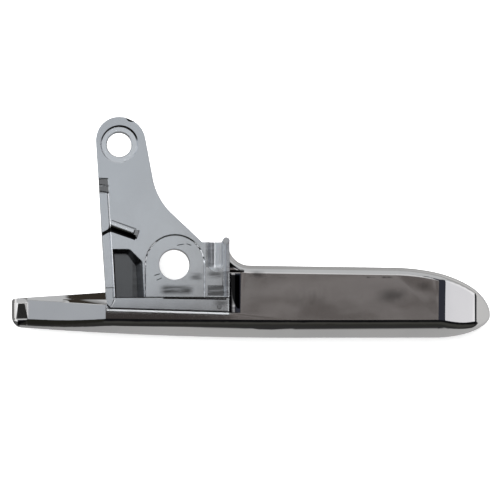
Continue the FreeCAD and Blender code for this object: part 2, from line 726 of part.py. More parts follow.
def hollow_blend():
    """Hollow blend that rises from the grip's side to the foot of the lug's right wall."""
    first_y = ARM_RIGHT_FOOT_Y + BLEND_MARGIN
    length = GRIP_BACK_Y - RIM_RADIUS - first_y
    edge_x = LUG_RIGHT_X + BLEND_REACH
    rise = BLEND_RADIUS - math.sqrt(BLEND_RADIUS ** 2 - BLEND_REACH ** 2)
    wedge = Part.makeBox(BLEND_REACH + BLEND_MARGIN, length, rise + BLEND_MARGIN)
    wedge.translate(V(LUG_RIGHT_X - BLEND_MARGIN, first_y, -SIDE_DROP - BLEND_MARGIN))
    hollow = Part.makeCylinder(
        BLEND_RADIUS, length, V(edge_x, first_y, -SIDE_DROP + BLEND_RADIUS), V(0, 1, 0))
    return wedge.cut(hollow)


def bores():
    """Pivot bore, and the cable hole with its chamfer and counterbore."""
    tall = 3 * SIDE_DROP
    top = PLATE_RAISE
    floor = top - COUNTERBORE_DEPTH
    return [
        Part.makeCylinder(PIVOT_RADIUS, tall, V(0, 0, -2 * SIDE_DROP)),
        Part.makeCylinder(CABLE_RADIUS, tall, V(CABLE_X, CABLE_Y, -2 * SIDE_DROP)),
        Part.makeCone(CABLE_RADIUS, CABLE_RADIUS + CABLE_CHAMFER, CABLE_CHAMFER,
                      V(CABLE_X, CABLE_Y, floor - CABLE_CHAMFER)),
        Part.makeCone(COUNTERBORE_RADIUS, COUNTERBORE_RADIUS + COUNTERBORE_FLARE, COUNTERBORE_DEPTH,
                      V(CABLE_X, CABLE_Y, floor)),
    ]


def cells():
    """Drafted cells cored up into the grip from its underside, with ribs between them."""
    low = -SIDE_DROP - GRIP_HEIGHT
    pitch = (CELL_LAST_X - CELL_FIRST_X + CELL_RIB) / CELL_COUNT
    solids = []
    for i in range(CELL_COUNT):
        left = CELL_FIRST_X + i * pitch
        right = left + pitch - CELL_RIB
        outlines = []
        for inset in (0, CELL_DRAFT):
            outlines.append([
                (left + inset, CELL_FRONT_Y + inset, CELL_CORNER),
                (right - inset, CELL_FRONT_Y + inset, CELL_CORNER),
                (right - inset, CELL_BACK_Y - inset, CELL_CORNER),
                (left + inset, CELL_BACK_Y - inset, CELL_CORNER),
            ])
        solids.append(drafted(outlines[0], low, outlines[1], low + CELL_DEPTH))
    return solids


def handle_lever():
    """The whole lever as one casting."""
    plate = prism(arm_outline(), PLATE_RAISE - PLATE_THICKNESS, PLATE_RAISE)
    body = grip_and_tail().fuse([plate, pocket_hub(), flange(), hollow_blend()] + ear())
    cutters = [ledge_cutter(), ledge_rim_cutter()] + shelf_cutters()
    cutters.append(drafted(
        pocket_corners(POCKET_DRAFT, POCKET_RIGHT_DRAFT), PLATE_RAISE - POCKET_DEPTH,
        pocket_corners(0, 0), PLATE_RAISE))
    cutters.append(drafted(seat_corners(SEAT_RADIUS), 0, seat_corners(SEAT_RADIUS + SEAT_FLARE), PLATE_RAISE))
    cutters.append(prism([
        (PANEL_LEFT_X, PANEL_BOTTOM_Y, 0), (PANEL_RIGHT_X, PANEL_BOTTOM_Y, 0),
        (PANEL_RIGHT_X, PANEL_TOP_Y, 0), (PANEL_LEFT_X, PANEL_TOP_Y, 0),
    ], PLATE_RAISE - PANEL_DEPTH, PLATE_RAISE + OVERRUN))
    cutters.append(Part.makeCylinder(GATE_RADIUS, 2 * GATE_DEPTH, V(GATE_X, GATE_Y, PLATE_RAISE - GATE_DEPTH)))
    body = body.cut(cutters + scoop() + cells())
    body = body.fuse([fin()] + bead()).cut(bores())
    return body


def main():
    os.makedirs("parts", exist_ok=True)
    lever = handle_lever()
    solids = lever.Solids
    print(len(solids), "solid, valid:", lever.isValid(), "volume:", round(lever.Volume, 1))
    solids[0].exportStep("parts/handle_lever.step")


main()
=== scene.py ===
import math
import bmesh
import bpy
from mathutils import Matrix, Vector


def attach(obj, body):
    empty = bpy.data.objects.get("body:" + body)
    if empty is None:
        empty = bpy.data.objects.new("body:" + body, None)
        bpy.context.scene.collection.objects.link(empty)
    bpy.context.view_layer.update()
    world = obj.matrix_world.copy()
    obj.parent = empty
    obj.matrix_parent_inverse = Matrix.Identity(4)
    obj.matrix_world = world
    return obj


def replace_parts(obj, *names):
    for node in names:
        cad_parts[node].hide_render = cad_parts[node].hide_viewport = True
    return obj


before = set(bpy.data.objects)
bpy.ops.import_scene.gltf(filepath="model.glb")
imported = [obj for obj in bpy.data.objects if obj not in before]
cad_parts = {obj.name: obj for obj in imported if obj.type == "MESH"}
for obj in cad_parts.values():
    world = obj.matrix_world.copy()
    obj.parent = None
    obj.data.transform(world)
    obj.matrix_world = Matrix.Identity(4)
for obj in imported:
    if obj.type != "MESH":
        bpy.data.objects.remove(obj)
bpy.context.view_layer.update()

MM = 0.001

# Camera: its place, the point it looks at, its sensor, its lens, and how far it sees
CAMERA_PLACE = (-0.0321, -0.0550, 0.9969)
CAMERA_TARGET = (0.01974, 0.00382, 0.0)
SENSOR_MM = 36.0
LENS_MM = 275.3
CAMERA_REACH = 20.0

# Floor, and its brightness in mirrors under the grip, beyond its nose and out in front
FLOOR_Z = -0.02452
FLOOR_SIZE = 3.0
FLOOR_WHITE = 0.92
FLOOR_VARIATION = 0.02
FLOOR_NOISE = 2.0
FLOOR_GLOW = 0.58
FLOOR_UNDER = 0.36
FLOOR_BEYOND = 0.56
FLOOR_LEFT = 0.28
FLOOR_LEFT_X = (0.0, -40.0 * MM)
FLOOR_BEYOND_X = (60.0 * MM, 130.0 * MM)
FLOOR_END = (-46.0 * MM, 0.19)
FLOOR_END_LINE = (-68.0 * MM, 0.02)
FLOOR_END_BEYOND = (-78.0 * MM, 0.82)
FLOOR_END_SOFT = 4.0 * MM
FLOOR_FRONT = 0.028
FLOOR_FRONT_Y = -42.0 * MM
FLOOR_FRONT_SOFT = 8.0 * MM

# Floor lamp
LAMP_PLACE = (-0.25, 0.35, 1.3)
LAMP_SIZE = 1.4
LAMP_WATTS = 34.0

# Edge angle in degrees above which two facets meet in a sharp edge, and the welding of the facets
SHARP_ANGLE = 22.0
WELD_DISTANCE = 0.002 * MM
CREASE_TOLERANCE = 0.05 * MM
CORNER_WEIGHT = 100

# Plating: the arm is satin, the grip and tail are polished
POLISHED_TONE = (0.92, 0.91, 0.90)
SATIN_TONE = (0.93, 0.955, 0.985)
# Tone of the darker patches, some of them painted shade, and of the painted shade in the pocket
DARK_PATCH_TONE = (0.10, 0.10, 0.10)
# Tone of the painted shade and painted dark reflections, and of the real scratches
DARK_TONE = (0.012, 0.012, 0.012)
POLISHED_ROUGHNESS = 0.03
SATIN_ROUGHNESS = 0.08
CHANNEL_ROUGHNESS = 0.38
POCKET_ROUGHNESS = 0.12
# Strength of the painted shade in the pocket
POCKET_PAINTED_SHADE = 0.80
SATIN_METAL = 1.0
# Metal of the painted highlights, low so that they take the lamp's light
HIGHLIGHT_METAL = 0.25
EDGE_SOFTNESS = 0.18 * MM
EDGE_SAMPLES = 6
GRAIN_ROUGHNESS = 0.02

# Noises, as scale, detail and stretch
CLOUD_NOISE = (60.0, 3.0)
GRAIN_NOISE = (900.0, 4.0)
WAVE_NOISE = (110.0, 1.0)
STREAK_NOISE = (520.0, 3.0, (0.3, 2.2, 1.0))
PATCH_NOISE = (260.0, 2.0, (1.0, 0.7, 1.0))

# Slight clouding of the whole plating, and the bump of its wave and of the arm's grain
CLOUD_TONE = (0.6, 0.6, 0.62)
CLOUD_RANGE = (0.38, 0.62)
CLOUD_STRENGTH = 0.12
WAVE_STRENGTH = 0.25
WAVE_DEPTH = 0.06 * MM
WAVE_HEIGHT = 0.9
ARM_GRAIN_HEIGHT = 0.02

# Soft margins of the masks, from narrow to wide
HAIR_SOFT = 0.05 * MM
LINE_SOFT = 0.06 * MM
SOFT = 0.1 * MM
WIDE_SOFT = 0.2 * MM

# Bounds of the arm: its lowest level, the tail, the back of the grip, and the right side of the lug
ARM_Z = -4.45 * MM
OFF_TAIL_X = -18.0 * MM
OFF_TAIL_Y = -6.9 * MM
BEHIND_GRIP_X = 8.5 * MM
BEHIND_GRIP_Y = -8.5 * MM
LUG_X = 14.5 * MM
LUG_SOFT = 0.08 * MM

# Pocket, darkened with painted shade, and the channel in the lug, which is duller
POCKET_X = (-16.2 * MM, -7.8 * MM)
POCKET_Y = (-8.7 * MM, 4.1 * MM)
POCKET_Z = (-0.6 * MM, -1.6 * MM)
CHANNEL_X = (8.7 * MM, 12.6 * MM)
CHANNEL_Y = -2.0 * MM
CHANNEL_Z = 0.33 * MM

# Darker patches of the plating, in millimetres: low and high x, y and z, soft margin, strength. Left of
# the channel, right of the ledge, at the foot of the lug and on the pocket wall they are painted shade
DARK_PATCHES = {
    "foot of the seat": ((-2.0, 3.2), (-7.0, -6.4), (-0.3, 0.1), 2.4, 0.92),
    "right of the seat": ((5.5, 6.0), (-3.3, -3.1), (-0.3, 0.1), 2.2, 0.76),
    "under the channel": ((10.2, 11.2), (-2.7, -2.6), (-0.3, 0.4), 2.6, 0.76),
    "right edge of the lug": ((12.5, 14.2), (-8.2, -1.8), (-0.6, 2.5), 0.2, 0.52),
    "right side of the seat": ((7.6, 8.0), (-8.4, 0.4), (-0.6, 0.4), 0.1, 0.5),
    "right of the ledge": ((12.0, 12.6), (-10.0, -9.9), (-2.6, -1.2), 2.6, 0.56),
    "left of the channel": ((8.3, 10.1), (-0.6, 5.9), (-2.2, 0.4), 0.35, 0.48),
    "foot of the lug": ((14.45, 16.2), (-12.6, -1.6), (-4.4, -0.8), 0.25, 0.86),
    "pocket wall": ((-10.7, -7.6), (-8.4, 1.6), (-11.5, -0.3), 0.15, 0.6),
    "panel": ((8.8, 13.3), (-8.2, -5.7), (-0.6, -0.05), 0.1, 0.80),
}
PATCH_SQUASH = 0.6
PATCH_STREAK = (0.3, 0.6)
PATCH_LEAST = 0.45

# Dark strokes on the arm, in millimetres: start, end, width, strength. The scratches are real marks; the
# others are painted shade in the notches, at the steps, on and behind the fin, behind the ledge and at the
# foot of the lug
SHADE_STROKES_AND_SCRATCHES = {
    "flange notch": ((-19.1, 7.75), (-16.9, 9.0), 0.75, 1.0),
    "foot notch": ((-18.0, -10.2), (-16.75, -11.35), 0.30, 1.0),
    "top of the steps": ((-19.8, 22.5), (-17.4, 22.4), 0.16, 0.8),
    "middle of the steps": ((-19.8, 20.8), (-17.2, 20.5), 0.3, 0.7),
    "foot of the steps": ((-19.7, 19.15), (-17.2, 18.75), 0.24, 0.8),
    "front of the fin": ((-16.9, 9.2), (-10.2, 6.9), 1.2, 1.0),
    "back of the fin": ((-16.4, 11.5), (-10.0, 9.3), 0.06, 0.7),
    "back of the ledge": ((-2.8, -8.75), (13.6, -8.95), 0.28, 1.0),
    "foot of the lug": ((14.9, -2.6), (15.0, -12.4), 0.7, 0.8),
    "left scratch": ((-5.2, -2.9), (-3.9, -2.5), 0.12, 1.0),
    "low scratch": ((-4.6, -4.1), (-3.4, -3.6), 0.10, 1.0),
    "upper scratch": ((0.7, 5.0), (2.3, 5.3), 0.10, 1.0),
    "right scratch": ((3.2, 5.4), (4.3, 5.0), 0.09, 1.0),
}

# Painted highlights on the arm, as strokes of duller metal that take the lamp's light, in millimetres:
# start, end, width, strength
HIGHLIGHT_STROKES = {
    "inner edge of the flange": ((-17.35, 18.4), (-15.5, -9.0), 0.14, 0.9),
    "point of the flange": ((-15.5, -9.3), (-16.6, -11.2), 0.14, 0.9),
    "steps of the flange": ((-18.4, 18.7), (-18.7, 22.2), 2.6, 0.14),
    "end of the fin": ((-10.3, 7.3), (-9.8, 8.8), 0.9, 0.3),
    "top of the fin": ((-16.4, 10.5), (-10.9, 8.5), 0.7, 0.12),
    "edge of the lug": ((14.15, -2.0), (14.15, -12.2), 0.12, 0.3),
    "left of the channel's floor": ((10.55, -0.9), (10.55, 5.7), 0.3, 0.3),
    "channel's floor": ((11.5, -0.9), (11.5, 5.7), 1.3, 0.1),
}

# Painted highlight on the edge of the washer seat: its two sides, and its arch with a grainy edge
SEAT_PLACE = (0.1 * MM, 0.0)
SEAT_RADIUS = 7.6 * MM
SEAT_EDGE = 0.2 * MM
SEAT_SIDE_Y = (-8.5 * MM, 0.0)
SEAT_SIDE_HIGHLIGHT = 0.3
SEAT_ARCH_Y = (0.0, 5.6 * MM)
SEAT_ARCH_SOFT = 0.5 * MM
SEAT_GRAIN = (0.42, 0.5)

# Clouded patches on the side of the grip, in millimetres: low and high x and y, soft margin, strength
CLOUDS = {
    "under the back rim": ((21.0, 22.0), (-2.4, -2.2), 2.6, 0.6),
    "flecks under the back rim": ((51.0, 57.5), (-3.1, -2.9), 0.5, 0.8),
    "middle": ((35.5, 36.5), (-7.9, -7.7), 8.0, 0.2),
    "towards the nose": ((57.0, 58.0), (-7.9, -7.8), 5.2, 0.55),
    "nose corner": ((65.6, 66.0), (-5.3, -5.2), 3.4, 0.36),
}
CLOUD_SQUASH = 0.5
CLOUD_Z = (-4.8 * MM, -4.6 * MM)
CLOUD_PATCHES = (0.35, 0.6)

# Ring that an ejector pin left on the ledge, and the nick in the rim of the head, whose wall gets painted
# shade
RING_PLACE = (11.8 * MM, -11.0 * MM)
RING_RADIUS = 0.5 * MM
RING_WIDTH = 0.13 * MM
RING_STRENGTH = 0.6
RING_DOT_STRENGTH = 0.4
RING_Z = (-1.0 * MM, -1.4 * MM)
NICK_PLACE = (-11.35 * MM, 38.72 * MM)
NICK_RADIUS = 1.42 * MM
NICK_WIDTH = 0.45 * MM

# Bores, whose walls get painted shade, the painted shadow in the counterbore, and the faint painted
# highlight over it
BORE_WALL = (0.06 * MM, 0.02 * MM)
BORE_WALL_SHADE = 0.85
PIVOT_RADIUS = 4.0 * MM
CABLE_PLACE = (-14.5 * MM, 31.35 * MM)
CABLE_RADIUS = 3.2 * MM
COUNTERBORE_RADIUS = 4.66 * MM
COUNTERBORE_HIGHLIGHT = 0.1
COUNTERBORE_SHADOW = (0.10 * MM, 0.14 * MM)
COUNTERBORE_SHADOW_RADIUS = 4.96 * MM
COUNTERBORE_SHADOW_FADE = (0.8 * MM, 2.2 * MM)

# Foot of the arm: its lean, and the widths of the painted highlight along its edge and of the painted
# shade line beside it
FOOT_LEFT = (-17.5 * MM, -12.1 * MM)
FOOT_LEAN = 0.028
FOOT_EDGE = 0.50 * MM
FOOT_EDGE_SOFT = 0.12 * MM
FOOT_LINE = 0.78 * MM
FOOT_LINE_WIDTH = 0.16 * MM
FOOT_LINE_SHADE = 0.55

# Painted shade on the blend beside the lug, and in the corner where the web meets it
BLEND_LEFT_X = 14.9 * MM
BLEND_RIGHT_X = 17.45 * MM
BLEND_RIGHT_SOFT = 0.25 * MM
BLEND_NARROWING = 1.6 * MM
BLEND_POINT = 4.0
BLEND_Y = (-11.2 * MM, -2.6 * MM)
BLEND_END_SOFT = 0.3 * MM
BLEND_Z = (-4.7 * MM, -3.2 * MM)
WEB_CENTRE = (20.0 * MM, 5.8 * MM)
WEB_DARK_RADIUS = 7.05 * MM
WEB_DARK_SOFT = 0.15 * MM
WEB_DARK_X = (14.45 * MM, 18.4 * MM)
WEB_DARK_Y = (-1.75 * MM, 2.0 * MM)
WEB_DARK_Z = -4.3 * MM
WEB_STREAK = (0.62, 0.5)

# Crease of the tail's last facet, and its rounding towards its back and front, as a slope
TAIL_FACET_X = -38.4 * MM
TAIL_FACET_BACK_Y = -9.7 * MM
TAIL_FACET_FRONT_Y = -13.7 * MM
TAIL_FACET_BORDER = 0.5 * MM
TAIL_FACET_SLOPE = 0.3

# Painted dark reflection as a block on that facet: its low and high y, then each side as a place and a
# lean, and the painted highlight round it. The painted dark reflection at the end of the front rim is a
# stroke like those on the arm
TAIL_BLOCK_Y = (-13.8 * MM, -10.0 * MM)
TAIL_BLOCK_LEFT = (-41.45 * MM, 0.13)
TAIL_BLOCK_RIGHT = (-38.25 * MM, -0.22)
TAIL_BLOCK_Z = -17.0 * MM
TAIL_BLOCK_SOFT = 0.15 * MM
TAIL_BLOCK_DARKNESS = 0.96
TAIL_PAINT_X = -38.0 * MM
TAIL_HIGHLIGHT_X = (-41.3 * MM, -41.0 * MM)
TAIL_HIGHLIGHT = 0.38
TAIL_RIM_END = ((-42.1, -14.9), (-40.4, -15.3), 1.0, 0.9)

# Rounding of the tail's bevel towards its crease: a place on the crease, its lean, width and slope
BEVEL_CREASE = (-20.0 * MM, -10.4 * MM)
BEVEL_LEAN = -0.073
BEVEL_ROUND = 1.4 * MM
BEVEL_NARROWING = 0.058
BEVEL_SLOPE = 0.24
BEVEL_X = (-27.0 * MM, -17.5 * MM)
BEVEL_SOFT = 2.5 * MM
BEVEL_Z = -4.6 * MM

# Room that the plating mirrors, by direction
ROOM_BLACK = (0.005, 0.005, 0.006)
ROOM_STREAK = (0.047, 0.047, 0.043)
ROOM_DUSK = (0.028, 0.028, 0.025)
ROOM_CREASE = (0.030, 0.032, 0.042)
ROOM_SHADE = (0.042, 0.037, 0.036)
ROOM_ARM = (0.585, 0.605, 0.625)
ROOM_ARM_HIGH = (0.42, 0.44, 0.462)
ROOM_ARM_RIGHT = (0.56, 0.565, 0.56)
ROOM_BROWN = (0.205, 0.191, 0.188)
ROOM_BROWN_DARK = (0.098, 0.087, 0.083)
ROOM_BRIGHT = (0.66, 0.66, 0.67)
ROOM_BEHIND = (0.50, 0.51, 0.52)
ROOM_LOW = (0.36, 0.36, 0.36)
ROOM_TAIL_RIM = (0.016, 0.016, 0.013)
ROOM_BACK_CARD = (0.035, 0.03, 0.024)
ROOM_TAIL = (0.375, 0.395, 0.425)
ROOM_END = (0.85, 0.86, 0.88)
ROOM_NOSE = (0.70, 0.70, 0.73)
ROOM_NOSE_EDGE = (0.88, 0.88, 0.90)
ROOM_SIDE = (0.030, 0.032, 0.036)
WHITE = (1.0, 1.0, 1.0)

# Bounds in the room, by direction. A pair is the start and end of a passage, and three values are
# the low and high bound of a card and its soft margin
STREAK_Y = (-0.48, -0.62)
DUSK_Y = (-0.86, -0.95)
BEHIND_Y = (0.30, 0.40)
LOW_BACK_X = (-0.16, -0.1)
LOW_BACK_Y = (0.4, 0.5)
LOW_BACK_Z = (0.36, 0.28)
BACK_CARD_X = (-0.14, -0.2)
BACK_CARD_Y = (0.7, 0.8)
BACK_CARD_Z = (0.18, 0.6, 0.02)
TAIL_RIM_X = (-0.2, -0.35)
FRONT_TO_BACK_Y = (0.055, 0.16)
OVERHEAD_X = (-0.02, 0.13, 0.03)
OVERHEAD_Y = (-0.04, 0.085, 0.03)
BROWN_X = (0.040, 0.052)
BROWN_NOISE = (95.0, 3.0, (0.8, 2.4, 1.0))
BROWN_CLOUDS = (0.42, 0.58)
ARM_CARD_X = (-0.08, 0.0465, 0.001)
ARM_CARD_Y = (0.0424, 0.13, 0.0003)
ARM_CARD_HIGH_Y = (0.058, 0.075)
ARM_CARD_RIGHT_X = (0.030, 0.046)
SIDE_FRONT_Y = (-0.12, -0.06)
SIDE_BACK_Y = (0.5, 0.4)
TAIL_CARD_X = (-0.74, -0.04, 0.03)
TAIL_DARK_X = (-0.74, -0.79)
END_CARD_X = (-0.93, -0.96)
END_CORNER_X = (-0.7, -0.75)
END_CORNER_Y = (0.1, 0.2)
CREASE_X = (0.13, 0.16)
NOSE_CARD_X = (0.64, 0.86, 0.02)
NOSE_EDGE_X = (0.70, 0.80)
RIGHT_SIDE_X = (0.87, 0.88)


class Graph:
    """Small helper that adds and links shader nodes."""

    def __init__(self, tree):
        self.tree = tree
        tree.nodes.clear()

    def add(self, kind, inputs=None, **settings):
        made = self.tree.nodes.new(kind)
        for name, value in settings.items():
            setattr(made, name, value)
        for name, value in (inputs or {}).items():
            self.put(made.inputs[name], value)
        return made

    def put(self, socket, value):
        if isinstance(value, bpy.types.NodeSocket):
            self.tree.links.new(value, socket)
        else:
            socket.default_value = value

    def math(self, operation, first, second=0.0):
        made = self.add("ShaderNodeMath", operation=operation)
        self.put(made.inputs[0], first)
        self.put(made.inputs[1], second)
        return made.outputs[0]

    def ramp(self, value, start, end):
        """0 below start, 1 above end and smooth between. The two may be given the other way round."""
        made = self.add("ShaderNodeMapRange", interpolation_type="SMOOTHSTEP")
        self.put(made.inputs["Value"], value)
        low, high = sorted((start, end))
        self.put(made.inputs["From Min"], low)
        self.put(made.inputs["From Max"], high)
        self.put(made.inputs["To Min"], 0.0 if start < end else 1.0)
        self.put(made.inputs["To Max"], 1.0 if start < end else 0.0)
        return made.outputs["Result"]

    def over(self, value, edge, soft):
        """0 below the edge, rising to 1 over the soft distance above it."""
        return self.ramp(value, edge, edge + soft)

    def under(self, value, edge, soft):
        """0 above the edge, rising to 1 over the soft distance below it."""
        return self.ramp(value, edge, edge - soft)

    def band(self, value, low, high, soft):
        """1 between low and high, falling to 0 over the soft distance on each side."""
        rise = self.ramp(value, low - soft, low)
        fall = self.ramp(value, high + soft, high)
        return self.math("MULTIPLY", rise, fall)

    def all_of(self, *masks):
        result = masks[0]
        for mask in masks[1:]:
            result = self.math("MULTIPLY", result, mask)
        return result

    def either(self, *masks):
        result = masks[0]
        for mask in masks[1:]:
            result = self.math("MAXIMUM", result, mask)
        return result

    def distance(self, x, y, place):
        """Distance of a point from a place in the plane of the arm."""
        along = self.math("SUBTRACT", x, place[0])
        across = self.math("SUBTRACT", y, place[1])
        squares = self.math("ADD", self.math("POWER", along, 2.0), self.math("POWER", across, 2.0))
        return self.math("SQRT", squares)

    def mix(self, factor, first, second):
        """Colour mix of two colours or sockets."""
        made = self.add("ShaderNodeMix", data_type="RGBA")
        self.put(made.inputs["Factor"], factor)
        self.put(made.inputs[6], rgba(first))
        self.put(made.inputs[7], rgba(second))
        return made.outputs[2]

    def blend(self, factor, first, second):
        """Number mix of two numbers or sockets."""
        made = self.add("ShaderNodeMix", data_type="FLOAT")
        self.put(made.inputs["Factor"], factor)
        self.put(made.inputs[2], first)
        self.put(made.inputs[3], second)
        return made.outputs[0]

    def stroke(self, x, y, start, end, width):
        """Mask of a straight stroke between two places in the plane of the arm, in millimetres."""
        length = math.dist(start, end)
        way = ((end[0] - start[0]) / length, (end[1] - start[1]) / length)
        right = self.math("SUBTRACT", x, start[0] * MM)
        up = self.math("SUBTRACT", y, start[1] * MM)
        along = self.math("ADD", self.math("MULTIPLY", right, way[0]), self.math("MULTIPLY", up, way[1]))
        sideways = self.math("MULTIPLY", right, way[1])
        across = self.math("SUBTRACT", sideways, self.math("MULTIPLY", up, way[0]))
        return self.all_of(
            self.band(along, 0.0, length * MM, SOFT),
            self.band(across, -width / 2 * MM, width / 2 * MM, SOFT))

    def noise(self, vector, scale, detail=3.0, stretch=(1.0, 1.0, 1.0)):
        spread = self.add("ShaderNodeMapping", {"Vector": vector, "Scale": stretch})
        made = self.add("ShaderNodeTexNoise", {"Scale": scale, "Detail": detail})
        self.put(made.inputs["Vector"], spread.outputs["Vector"])
        return made.outputs["Fac"]


def rgba(colour):
    if isinstance(colour, bpy.types.NodeSocket):
        return colour
    return (*colour, 1.0)


class Plate(Graph):
    """Graph of the plating, with the coordinates, noises and parts of the arm that its masks share."""

    def __init__(self, tree):
        super().__init__(tree)
        place = self.add("ShaderNodeTexCoord").outputs["Object"]
        split = self.add("ShaderNodeSeparateXYZ", {"Vector": place})
        x, y, z = (split.outputs[axis] for axis in "XYZ")
        self.x, self.y, self.z = x, y, z
        self.cloud = self.noise(place, *CLOUD_NOISE)
        self.grain = self.noise(place, *GRAIN_NOISE)
        self.wave = self.noise(place, *WAVE_NOISE)
        self.streak = self.noise(place, *STREAK_NOISE)
        self.patches = self.noise(place, *PATCH_NOISE)

        # The arm lies above the grip's side and behind the grip's back
        self.above = self.over(z, ARM_Z, SOFT)
        off_tail = self.either(self.over(x, OFF_TAIL_X, SOFT), self.over(y, OFF_TAIL_Y, WIDE_SOFT))
        behind = self.all_of(
            self.over(y, BEHIND_GRIP_Y, WIDE_SOFT), self.under(x, BEHIND_GRIP_X, WIDE_SOFT), off_tail)
        self.left_of_lug = self.under(x, LUG_X, LUG_SOFT)
        self.arm = self.either(self.all_of(self.above, self.left_of_lug), behind)

        rise = self.math("MULTIPLY", self.math("SUBTRACT", x, FOOT_LEFT[0]), FOOT_LEAN)
        self.from_foot = self.math("ADD", self.math("SUBTRACT", y, FOOT_LEFT[1]), rise)
        self.from_cable = self.distance(x, y, CABLE_PLACE)
        self.tail_end = self.ramp(x, TAIL_PAINT_X, TAIL_FACET_X)
        self.on_tail = self.all_of(self.over(z, TAIL_BLOCK_Z, WIDE_SOFT), self.tail_end)


def painted_highlights(g):
    """Mask of painted highlights, where duller metal takes the lamp's light: foot of the arm, strokes,
    washer seat, counterbore and tail.
    """
    highlight = g.all_of(g.under(g.from_foot, FOOT_EDGE, FOOT_EDGE_SOFT), g.above, g.left_of_lug)
    for start, end, width, strength in HIGHLIGHT_STROKES.values():
        highlight = g.either(highlight, g.all_of(g.stroke(g.x, g.y, start, end, width), g.above, strength))
    from_seat = g.math("ABSOLUTE", g.math("SUBTRACT", g.x, SEAT_PLACE[0]))
    seat_side = g.all_of(
        g.band(from_seat, SEAT_RADIUS, SEAT_RADIUS + SEAT_EDGE, HAIR_SOFT),
        g.band(g.y, *SEAT_SIDE_Y, SOFT), SEAT_SIDE_HIGHLIGHT)
    seat_arch = g.all_of(
        g.band(g.distance(g.x, g.y, SEAT_PLACE), SEAT_RADIUS, SEAT_RADIUS + SEAT_EDGE, HAIR_SOFT),
        g.band(g.y, *SEAT_ARCH_Y, SEAT_ARCH_SOFT))
    seat = g.all_of(g.either(seat_side, seat_arch), g.above, g.ramp(g.grain, *SEAT_GRAIN))
    counterbore = g.all_of(g.under(g.from_cable, COUNTERBORE_RADIUS, HAIR_SOFT), g.above, COUNTERBORE_HIGHLIGHT)
    tail = g.all_of(
        g.on_tail, g.ramp(g.x, *TAIL_HIGHLIGHT_X),
        g.band(g.y, TAIL_FACET_FRONT_Y, TAIL_FACET_BACK_Y, SOFT), TAIL_HIGHLIGHT)
    return g.either(highlight, seat, counterbore, tail)


def darkening_mask(g):
    """Mask of darkening: the ejector ring on the ledge, ragged darker patches, some of them painted shade,
    and clouds on the grip.
    """
    from_ring = g.distance(g.x, g.y, RING_PLACE)
    ring = g.all_of(g.band(from_ring, RING_RADIUS, RING_RADIUS + RING_WIDTH, LINE_SOFT), RING_STRENGTH)
    dot = g.all_of(g.ramp(from_ring, RING_RADIUS + RING_WIDTH, RING_RADIUS), RING_DOT_STRENGTH)
    dimming = g.all_of(g.either(ring, dot), g.above, g.ramp(g.z, *RING_Z))
    for (x_low, x_high), (y_low, y_high), (z_low, z_high), margin, strength in DARK_PATCHES.values():
        patch = g.all_of(
            g.band(g.x, x_low * MM, x_high * MM, margin * MM),
            g.band(g.y, y_low * MM, y_high * MM, margin * PATCH_SQUASH * MM),
            g.band(g.z, z_low * MM, z_high * MM, SOFT))
        ragged = g.blend(g.ramp(g.streak, *PATCH_STREAK), strength * PATCH_LEAST, strength)
        dimming = g.either(dimming, g.all_of(patch, ragged))
    for (x_low, x_high), (y_low, y_high), margin, strength in CLOUDS.values():
        patch = g.all_of(
            g.band(g.x, x_low * MM, x_high * MM, margin * MM),
            g.band(g.y, y_low * MM, y_high * MM, margin * CLOUD_SQUASH * MM),
            g.ramp(g.z, *CLOUD_Z))
        dimming = g.either(dimming, g.all_of(patch, g.ramp(g.patches, *CLOUD_PATCHES), strength))
    return dimming


def hole_shade(g):
    """Mask of painted shade: the bores' walls, the shadow in the counterbore and the nick in the rim of
    the head.
    """
    wall_start, wall_end = BORE_WALL
    walls = g.all_of(
        g.either(
            g.ramp(g.distance(g.x, g.y, (0.0, 0.0)), PIVOT_RADIUS + wall_start, PIVOT_RADIUS + wall_end),
            g.ramp(g.from_cable, CABLE_RADIUS + wall_start, CABLE_RADIUS + wall_end)),
        BORE_WALL_SHADE)
    shadow_place = (CABLE_PLACE[0] + COUNTERBORE_SHADOW[0], CABLE_PLACE[1] + COUNTERBORE_SHADOW[1])
    from_shadow = g.distance(g.x, g.y, shadow_place)
    fade_start, fade_end = COUNTERBORE_SHADOW_FADE
    shadow = g.all_of(
        g.under(from_shadow, COUNTERBORE_SHADOW_RADIUS, LINE_SOFT),
        g.over(g.from_cable, COUNTERBORE_RADIUS - HAIR_SOFT, HAIR_SOFT),
        g.ramp(g.y, CABLE_PLACE[1] + fade_start, CABLE_PLACE[1] + fade_end))
    from_nick = g.distance(g.x, g.y, NICK_PLACE)
    nick = g.all_of(g.band(from_nick, NICK_RADIUS - NICK_WIDTH, NICK_RADIUS, LINE_SOFT), g.above)
    return g.either(walls, shadow, nick)


def lug_side_shade(g):
    """Mask of painted shade on the blend beside the lug, pointed downwards, and in the corner at the web.
    """
    low_y, high_y = BLEND_Y
    down = g.math("DIVIDE", g.math("MAXIMUM", g.math("SUBTRACT", high_y, g.y), 0.0), high_y - low_y)
    narrowing = g.math("MULTIPLY", g.math("POWER", down, BLEND_POINT), BLEND_NARROWING)
    beside_lug = g.all_of(
        g.over(g.math("SUBTRACT", g.x, narrowing), BLEND_LEFT_X, WIDE_SOFT),
        g.under(g.x, BLEND_RIGHT_X, BLEND_RIGHT_SOFT),
        g.band(g.y, low_y, high_y, BLEND_END_SOFT), g.band(g.z, *BLEND_Z, SOFT))
    web_corner = g.all_of(
        g.over(g.distance(g.x, g.y, WEB_CENTRE), WEB_DARK_RADIUS, WEB_DARK_SOFT),
        g.band(g.x, *WEB_DARK_X, SOFT), g.band(g.y, *WEB_DARK_Y, SOFT),
        g.under(g.z, WEB_DARK_Z, SOFT), g.ramp(g.streak, *WEB_STREAK))
    return g.either(beside_lug, web_corner)


